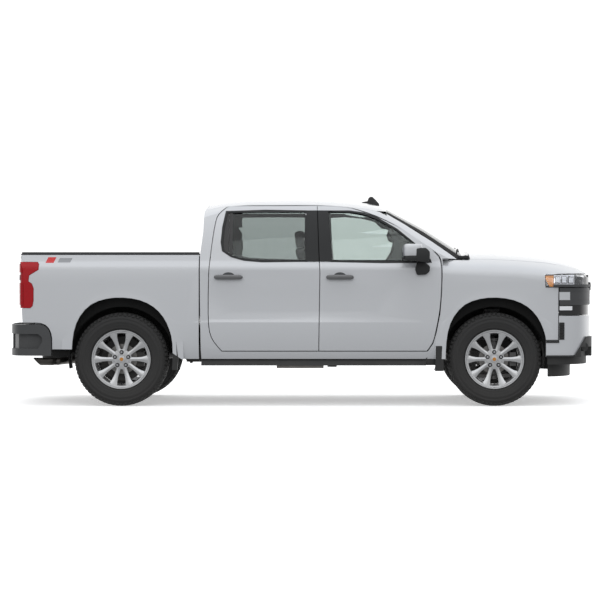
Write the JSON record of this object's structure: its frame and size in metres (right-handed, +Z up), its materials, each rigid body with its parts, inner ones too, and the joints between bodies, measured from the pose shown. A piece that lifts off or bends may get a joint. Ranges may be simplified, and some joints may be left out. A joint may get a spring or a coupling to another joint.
{
  "type": "pickup truck",
  "caption": "Full-size crew-cab pickup truck with hinged doors, hood and tailgate, steered front wheels and rolling wheels.",
  "frame": {"origin": "on the ground, under the middle of the outline", "axes": "+X forward, +Y to the left side, +Z up"},
  "size_m": [5.64, 2.418, 2.025],
  "materials": {
    "body_paint": "gloss, very light silver white",
    "frame_black": "satin black chassis paint",
    "cast_grey": "raw cast and machined",
    "exhaust_steel": "dull heat-stained steel",
    "black_plastic": "fine-grained matt moulding",
    "gloss_black": "gloss black moulding",
    "grey_plastic": "dark grey, satin",
    "tyre_rubber": "matt rubber",
    "rim_alloy": "painted bright silver",
    "tinted_glass": "clear, green-grey tint",
    "lamp_clear": "clear lamp cover",
    "lamp_red": "deep red lamp lens",
    "interior_plastic": "soft grained",
    "interior_leather": "fine grain",
    "seat_fabric": "woven"
  },
  "bodies": {
    "body": {"ladder_frame": "frame_black", "front_suspension": "cast_grey", "rear_axle": "frame_black", "engine_block": "cast_grey", "driveline": "cast_grey", "exhaust": "exhaust_steel", "fuel_tank": "black_plastic", "spare_tyre": "tyre_rubber", "cab_floor": "body_paint", "cab_sides": "body_paint", "cab_back": "body_paint", "roof_panel": "body_paint", "cab_glass": "tinted_glass", "cowl": "black_plastic", "dashboard": "interior_plastic", "steering_wheel": "interior_leather", "front_seats": "seat_fabric", "rear_seat": "seat_fabric", "front_fenders": "body_paint", "grille": "gloss_black", "headlights": "lamp_clear", "front_bumper": "body_paint", "front_valance": "black_plastic", "wheel_liners": "black_plastic", "rocker_trims": "black_plastic", "antenna": "gloss_black", "bed_floor": "body_paint", "bed_sides": "body_paint", "bed_rail_caps": "black_plastic", "tail_lights": "lamp_red", "rear_bumper": "grey_plastic"},
    "hood": {"hood": "body_paint"},
    "tailgate": {"tailgate": "body_paint"},
    "door_front_left": {"door_front_left": "body_paint", "glass_front_left": "tinted_glass", "mirror_left": "body_paint"},
    "door_rear_left": {"door_rear_left": "body_paint", "glass_rear_left": "tinted_glass"},
    "steering_left": {"knuckle_left": "cast_grey"},
    "wheel_front_left": {"tyre_front_left": "tyre_rubber", "rim_front_left": "rim_alloy"},
    "wheel_rear_left": {"tyre_rear_left": "tyre_rubber", "rim_rear_left": "rim_alloy"},
    "door_front_right": {"door_front_right": "body_paint", "glass_front_right": "tinted_glass", "mirror_right": "body_paint"},
    "door_rear_right": {"door_rear_right": "body_paint", "glass_rear_right": "tinted_glass"},
    "steering_right": {"knuckle_right": "cast_grey"},
    "wheel_front_right": {"tyre_front_right": "tyre_rubber", "rim_front_right": "rim_alloy"},
    "wheel_rear_right": {"tyre_rear_right": "tyre_rubber", "rim_rear_right": "rim_alloy"}
  },
  "joints": [
    {"name": "door_front_left_swing", "type": "hinge", "parent": "body", "child": "door_front_left", "pos_m": [1.27, 0.993, 0.9], "axis": [0, 0, -1], "range_deg": [0, 65]},
    {"name": "door_rear_left_swing", "type": "hinge", "parent": "body", "child": "door_rear_left", "pos_m": [0.124, 0.993, 0.9], "axis": [0, 0, -1], "range_deg": [0, 65]},
    {"name": "steer_left", "type": "hinge", "parent": "body", "child": "steering_left", "pos_m": [1.835, 0.832, 0.4445], "axis": [0, 0, 1], "range_deg": [-32, 32]},
    {"name": "roll_front_left", "type": "hinge", "parent": "steering_left", "child": "wheel_front_left", "pos_m": [1.835, 0.852, 0.4445], "axis": [0, 1, 0], "continuous": true},
    {"name": "roll_rear_left", "type": "hinge", "parent": "body", "child": "wheel_rear_left", "pos_m": [-1.715, 0.852, 0.4445], "axis": [0, 1, 0], "continuous": true},
    {"name": "door_front_right_swing", "type": "hinge", "parent": "body", "child": "door_front_right", "pos_m": [1.27, -0.993, 0.9], "axis": [0, 0, 1], "range_deg": [0, 65]},
    {"name": "door_rear_right_swing", "type": "hinge", "parent": "body", "child": "door_rear_right", "pos_m": [0.124, -0.993, 0.9], "axis": [0, 0, 1], "range_deg": [0, 65]},
    {"name": "steer_right", "type": "hinge", "parent": "body", "child": "steering_right", "pos_m": [1.835, -0.832, 0.4445], "axis": [0, 0, 1], "range_deg": [-32, 32]},
    {"name": "roll_front_right", "type": "hinge", "parent": "steering_right", "child": "wheel_front_right", "pos_m": [1.835, -0.852, 0.4445], "axis": [0, 1, 0], "continuous": true},
    {"name": "roll_rear_right", "type": "hinge", "parent": "body", "child": "wheel_rear_right", "pos_m": [-1.715, -0.852, 0.4445], "axis": [0, 1, 0], "continuous": true},
    {"name": "hood_lift", "type": "hinge", "parent": "body", "child": "hood", "pos_m": [1.56, 0, 1.42], "axis": [0, -1, 0], "range_deg": [0, 50]},
    {"name": "tailgate_drop", "type": "hinge", "parent": "body", "child": "tailgate", "pos_m": [-2.638, 0, 0.85], "axis": [0, -1, 0], "range_deg": [0, 90]}
  ],
  "couplings": [
    {"joint": "steer_right", "follows": "steer_left", "ratio": 1}
  ]
}
